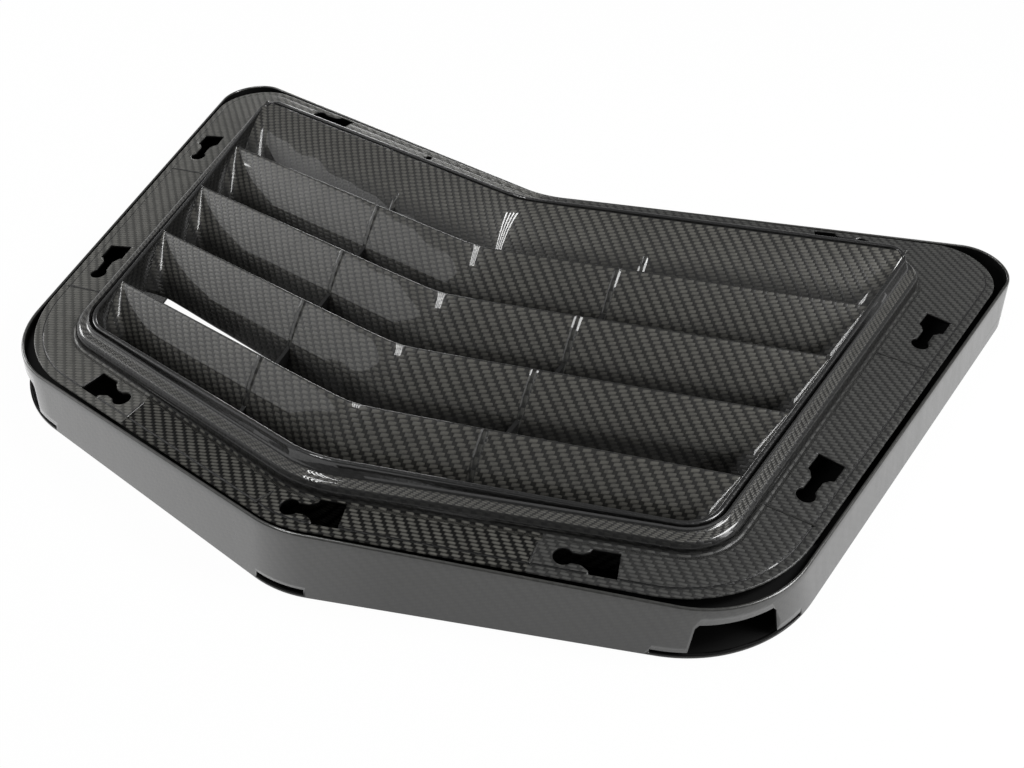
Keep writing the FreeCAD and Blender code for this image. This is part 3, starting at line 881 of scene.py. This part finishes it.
back_blade_finish = gloss_twill("back_blade_twill", foot=BACK_BLADE_FOOT)
blade_finish = gloss_twill("blade_twill", foot=BLADE_FOOT)
rim_finish = gloss_twill("rim_twill", (0.014, 0.014, 0.013, 1), coat=0.4)
shoulder_finish = gloss_twill("shoulder_twill", (0.085, 0.083, 0.075, 1), SHOULDER_PITCH)
band_finish = gloss_twill("band_twill", (0.008, 0.008, 0.008, 1))
front_finish = satin_twill("flange_front_twill", (0.098, 0.096, 0.086, 1), DARK_TOW, 0.02, 2.6, 0.06)
# Painted light: the right flange's cloth is painted darker, as painted shade, and the left flange's lighter, as
# a painted sheen.
right_flange_painted_shade = satin_twill("flange_right_painted_shade_twill", (0.06, 0.06, 0.057, 1), (0.013, 0.013, 0.013, 1), 0.2, 1.4)
left_flange_painted_light = satin_twill("flange_left_painted_light_twill", (0.125, 0.123, 0.113, 1), (0.035, 0.035, 0.033, 1), 0.25, 1.2)
wall_finish = satin_twill("box_wall_twill", (0.016, 0.016, 0.015, 1), DARK_TOW, 0.1, 1.4)
seam_finish = gloss_twill("seam_twill", (0.04, 0.04, 0.036, 1))
ply_finish = gloss_twill("flange_seam_twill", (0.02, 0.02, 0.018, 1))
tray_finish = tray_laminate()
inside_finish = painted_shade_black("tray_inside")
print("finishes:", len(bpy.data.materials))

# %% [markdown]
# ## Dressing the pieces
# The frame has seven finishes, because its front strip of cloth differs from the side strips and the rim is
# darker than the flange. The left and right flanges are lit and shaded copies of one cloth: the left one is
# painted lighter, as a painted sheen, and the right one darker, as painted shade. Each could be a shell of its
# own, but then the edges between them would show. So every face picks its finish by where it lies and which way
# it looks.

# %% Dress the pieces
STRIP_END, STRIP_BACK = 126.5, -140.0
FRAME_FINISHES = [rim_finish, right_flange_painted_shade, band_finish, shoulder_finish, front_finish, left_flange_painted_light, wall_finish]


def faces_of(piece):
    """Centres and normals of a piece's faces."""
    found = []
    for kind in ("center", "normal"):
        values = np.empty(len(piece.data.polygons) * 3)
        piece.data.polygons.foreach_get(kind, values)
        found.append(values.reshape(-1, 3))
    return found


def looks_in(centres, facing):
    """True for the faces that look towards the middle of the plan."""
    return np.einsum("ij,ij->i", centres[:, :2], facing[:, :2]) < 0


def dress(piece, finishes, index=None):
    """Gives a piece its finishes, and each face the number of one of them."""
    piece.data.materials.clear()
    for finish in finishes:
        piece.data.materials.append(finish)
    if index is not None:
        piece.data.polygons.foreach_set("material_index", index.astype(np.int32))


centres, facing = faces_of(louver_frame)
x, y, z = centres.T
over_flange, over_shoulder = z - ROOFS["flange"](x, y), z - ROOFS["shoulder"](x, y)
box_wall = looks_in(centres, facing) & (np.abs(facing[:, 2]) < 0.4)
groove = np.abs(over_flange + (PLY + GROOVE / 2) * MM) < 0.02 * MM
border_step = np.abs(over_flange + (PLY + STEP_TOP) / 2 * MM) < 0.1 * MM
front_strip = (y < STRIP_BACK * MM) & (np.abs(x) < STRIP_END * MM)
on_flange = over_flange < 0.6 * MM
zones = [
    (box_wall, wall_finish),
    (groove | border_step, band_finish),
    (on_flange & front_strip, front_finish),
    # The left flange takes the painted-light copy of the cloth and the right one the painted-shade copy.
    (on_flange & (x < 0), left_flange_painted_light),
    (on_flange, right_flange_painted_shade),
    (over_shoulder > 0.4 * MM, band_finish),
    (over_shoulder > -0.5 * MM, shoulder_finish),
]
zone = np.select([test for test, _ in zones], [FRAME_FINISHES.index(finish) for _, finish in zones], 0)
dress(louver_frame, FRAME_FINISHES, zone)
centres, facing = faces_of(tray)
level = np.abs(facing[:, 2]) > 0.9
deep = centres[:, 2] < ROOFS["flange"](centres[:, 0], centres[:, 1]) - (RIM_DROP + 1.5) * MM
# The tray's low inner and level faces take the near-black finish, as painted shade inside the tray.
dress(tray, [tray_finish, inside_finish], (looks_in(centres, facing) | level) & deep)
dress(blades[0], [back_blade_finish])
ribs = [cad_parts[name] for name in ("support_rib_left", "support_rib_right")]
alike = [(blades[1:], blade_finish), (seams, seam_finish), (ply_seams, ply_finish)]
# The drain hoods take the same near-black painted shade.
alike += [(hoods, inside_finish), (ribs, rim_finish)]
for group, finish in alike:
    for piece in group:
        dress(piece, [finish])
print("faces in each of the frame's finishes:", np.bincount(zone).tolist())

# %% [markdown]
# ## Places in the library part
# Each shell rides on the one body. A shell that stands for a solid replaces its node, and the thin relief is
# added to what is there.

# %% Ride and replace
pieces = [(louver_frame, "louver_frame", "frame_laminate"), (tray, "drain_tray", "tray_laminate")]
pieces += [(blade, f"louver_blade_{n}", "blade_laminate") for n, blade in enumerate(blades, start=1)]
for piece, node, slot in pieces:
    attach(piece, "root")
    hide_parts(node)
for seam in seams:
    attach(seam, "root")
for seam in ply_seams:
    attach(seam, "root")
for hood in hoods:
    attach(hood, "root")
print("pieces:", len(pieces) + len(seams) + len(ply_seams) + len(hoods))

# %% [markdown]
# ## Floor
# A white floor runs past the camera's view. A bright lamp on it would wash out the dark cloth, so it glows only
# for the camera and for mirrored rays and is plain white for the rest. It lies a little below the tray, which
# keeps the two apart.

# %% Floor
FLOOR_HALF, FLOOR_DROP, GLOW_SHARE = 4.0, 0.3 * MM, 0.97
mesh = bpy.data.meshes.new("floor")
corners = ((-1, -1), (1, -1), (1, 1), (-1, 1))
mesh.from_pydata([(x * FLOOR_HALF, y * FLOOR_HALF, -FLOOR_DROP) for x, y in corners], [], [(0, 1, 2, 3)])
floor = bpy.data.objects.new("floor", mesh)
bpy.context.scene.collection.objects.link(floor)
finish = Finish("studio_floor")
rays = finish.node("ShaderNodeLightPath").outputs
seen = Value(finish, rays["Is Camera Ray"]).math("MAXIMUM", rays["Is Glossy Ray"])
seen = seen.math("MAXIMUM", rays["Is Transmission Ray"])
glow = finish.node("ShaderNodeEmission", None, {"Color": (1, 1, 1, 1), "Strength": 1.0})
floor.data.materials.append(finish.set(Base_Color=(0.9, 0.9, 0.9, 1), Roughness=0.9))
shaders = {0: seen * GLOW_SHARE, 1: finish.shader.outputs[0], 2: glow.outputs[0]}
mix = finish.node("ShaderNodeMixShader", None, shaders)
finish.tree.links.new(mix.outputs[0], finish.tree.nodes["Material Output"].inputs[0])
print("floor half width in m:", FLOOR_HALF)

# %% [markdown]
# ## Camera
# The camera stands in front of the vent, to its right and above it. Its place, heading and lens come from a fit
# of the keyholes and corners of the part, which is surer than setting them by eye.

# %% Camera
FOCAL_PIXELS, PICTURE_WIDTH, SENSOR = 1043.88, 1024, 36.0
CAMERA_PLACE = (0.2559, -0.4792, 0.4605)
TOWARDS_CAMERA = Vector((0.3075, -0.6727, 0.6730))
lens = bpy.data.cameras.new("camera")
lens.sensor_width = SENSOR
lens.lens = FOCAL_PIXELS / PICTURE_WIDTH * SENSOR
lens.clip_start = 0.01
camera = bpy.data.objects.new("camera", lens)
camera.location = CAMERA_PLACE
camera.rotation_euler = (-TOWARDS_CAMERA).to_track_quat("-Z", "Y").to_euler()
bpy.context.scene.collection.objects.link(camera)
bpy.context.scene.camera = camera
print("lens in mm:", round(lens.lens, 2))

# %% [markdown]
# ## Light
# Plain studio light: a dim room, a key lamp high on the right, and a panel and strips to the left, right and
# back. One large lamp would light the cloth as well, but the clear coat needs edges to mirror. Four narrow
# strips overhead give the white lines where the blades bend at the centre.

# %% Lamps and room
ROOM = 0.2
LAMPS = {
    "key": ((0.71, 0.18, 0.68), 1.1, (0.35, 0.35), 6.6),
    "left_panel": ((-0.86, -0.20, 0.40), 1.5, (1.0, 0.75), 1.8),
    "right_strip": ((0.90, 0.05, 0.44), 1.6, (0.3, 0.5), 5.5),
    "left_strip": ((-0.94, 0.06, 0.33), 1.6, (0.35, 0.35), 3.0),
    "back_strip": ((-0.48, 0.84, 0.24), 1.6, (0.5, 0.2), 3.0),
}
STRIPS, STRIP_SIZE, STRIP_POWER = 4, (0.035, 1.25), 2.7
STRIP_X, STRIP_Y, STRIP_HEIGHT, STRIP_SPREAD = -0.6, -0.25, 1.5, 0.13


def lamp(name, towards, distance, size, power):
    """An area lamp that looks at the middle of the vent, with its size in metres and its power in watts."""
    light = bpy.data.lights.new(name, "AREA")
    light.shape = "RECTANGLE"
    light.size, light.size_y = size
    light.energy = power
    made = bpy.data.objects.new(name, light)
    made.location = Vector(towards).normalized() * distance
    made.rotation_euler = Vector(towards).to_track_quat("Z", "Y").to_euler()
    bpy.context.scene.collection.objects.link(made)
    return made


for name, values in LAMPS.items():
    lamp(name, *values)
for number, shift in enumerate(np.linspace(-STRIP_SPREAD, STRIP_SPREAD, STRIPS), start=1):
    strip = lamp(f"strip_{number}", (0, 0, 1), STRIP_HEIGHT, STRIP_SIZE, STRIP_POWER)
    strip.location.x, strip.location.y = STRIP_X + shift, STRIP_Y
world = bpy.data.worlds.new("room")
bpy.context.scene.world = world
world.use_nodes = True
background = world.node_tree.nodes["Background"].inputs
background["Color"].default_value = (1, 1, 1, 1)
background["Strength"].default_value = ROOM
bpy.context.scene.view_settings.view_transform = "Standard"
print("lamps:", len(LAMPS) + STRIPS)
